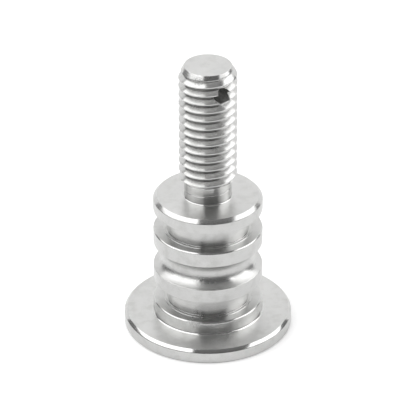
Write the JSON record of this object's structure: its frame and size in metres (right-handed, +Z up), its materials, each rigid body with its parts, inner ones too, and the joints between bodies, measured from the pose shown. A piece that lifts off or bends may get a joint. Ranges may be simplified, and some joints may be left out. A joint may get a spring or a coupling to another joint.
{
  "type": "pivot bolt",
  "caption": "Turned steel pivot bolt with a thin round head, a grooved round shoulder to pivot on, and a threaded stud with a cross hole.",
  "frame": {"origin": "middle of the head's flat underside, where the bolt stands", "axes": "+Z up the bolt's axis from the head to the end of the stud, -Y towards the front"},
  "size_m": [0.0232, 0.0232, 0.0397],
  "materials": {
    "turned_steel": "bright turned stainless steel"
  },
  "bodies": {
    "root": {"pivot_bolt": "turned_steel"}
  },
  "joints": []
}
